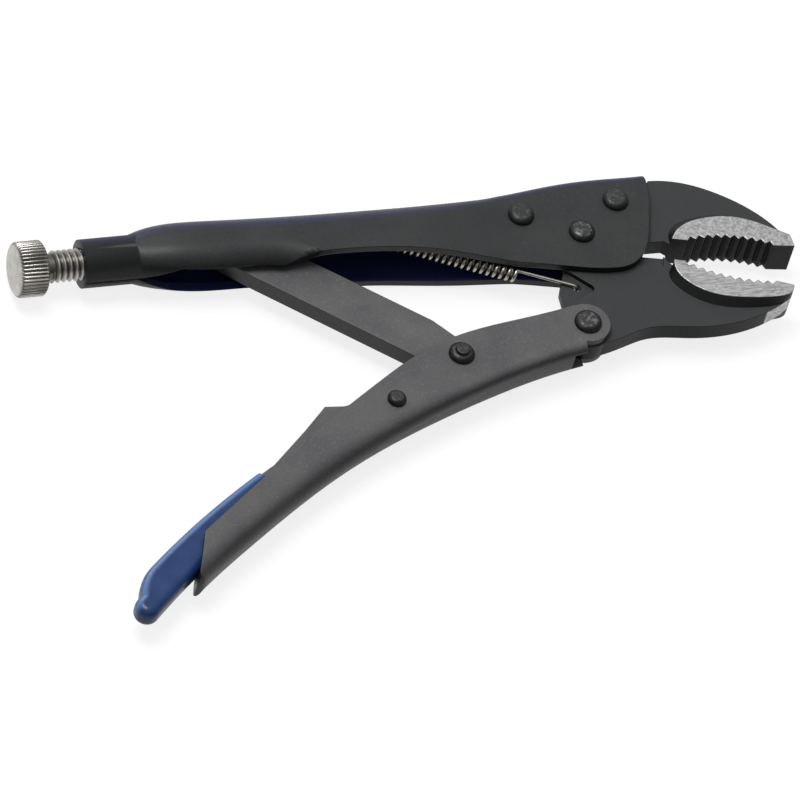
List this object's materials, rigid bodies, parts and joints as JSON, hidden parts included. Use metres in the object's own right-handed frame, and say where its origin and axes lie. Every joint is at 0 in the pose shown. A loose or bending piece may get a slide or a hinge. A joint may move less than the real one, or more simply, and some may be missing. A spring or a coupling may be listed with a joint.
{
  "type": "locking pliers",
  "caption": "Locking pliers with curved toothed jaws, a folded upper handle with an adjusting screw, a toggle-linked lower handle and a sleeved release lever.",
  "frame": {"origin": "centre of the bounding box in X and Y, on the plane the tool's side lies on", "axes": "+X along the tool's length towards the jaws, +Z through its thickness, up from the side it lies on"},
  "size_m": [0.244, 0.1448, 0.02],
  "materials": {
    "black_steel": "satin black phosphated steel",
    "jaw_steel": "black plate with ground bright pads",
    "rivet_steel": "satin black, peened",
    "plated_steel": "bright zinc plate",
    "spring_steel": "drawn wire",
    "blue_vinyl": "soft dipped vinyl, slight sheen"
  },
  "bodies": {
    "upper": {"upper_handle": "black_steel", "fixed_jaw": "jaw_steel", "fixed_jaw_rivet_rear": "rivet_steel", "fixed_jaw_rivet_front": "rivet_steel", "jaw_pivot_rivet": "rivet_steel", "return_spring": "spring_steel"},
    "jaw": {"moving_jaw": "jaw_steel"},
    "lower": {"lower_handle": "black_steel", "handle_pivot_rivet": "rivet_steel", "link_pivot_rivet": "rivet_steel", "lever_pivot_rivet": "rivet_steel"},
    "link": {"toggle_link": "black_steel"},
    "lever": {"release_lever": "black_steel", "lever_sleeve": "blue_vinyl"},
    "screw": {"adjusting_screw": "plated_steel"},
    "knob": {"adjusting_knob": "plated_steel"}
  },
  "joints": [
    {"name": "jaw_pivot", "type": "hinge", "parent": "upper", "child": "jaw", "pos_m": [0.0567, 0.05148, 0.01], "axis": [0, 0, 1], "range_deg": [0, 12.5], "stiffness_Nm_per_rad": 0.2, "deforming": ["return_spring"]},
    {"name": "handle_pivot", "type": "hinge", "parent": "jaw", "child": "lower", "pos_m": [0.0494, 0.01768, 0.01], "axis": [0, 0, 1], "range_deg": [-26.9, 0]},
    {"name": "link_pivot", "type": "hinge", "parent": "lower", "child": "link", "pos_m": [0.0067, 0.01038, 0.01], "axis": [0, 0, 1], "range_deg": [0, 23.2]},
    {"name": "lever_pivot", "type": "hinge", "parent": "lower", "child": "lever", "pos_m": [-0.0181, -0.00422, 0.01], "axis": [0, 0, 1], "range_deg": [-6, 0.5]},
    {"name": "screw_travel", "type": "slide", "parent": "upper", "child": "screw", "axis": [1, 0, 0], "range_m": [-0.0114, 0]},
    {"name": "knob_turn", "type": "hinge", "parent": "screw", "child": "knob", "pos_m": [-0.1133, 0.06118, 0.01], "axis": [1, 0, 0], "range_deg": [-2161, 0]}
  ],
  "couplings": [
    {"joint": "handle_pivot", "follows": "jaw_pivot", "ratio": -2.148},
    {"joint": "link_pivot", "follows": "jaw_pivot", "ratio": 1.8486},
    {"joint": "knob_turn", "follows": "screw_travel", "rad_per_m": 3306.9}
  ]
}
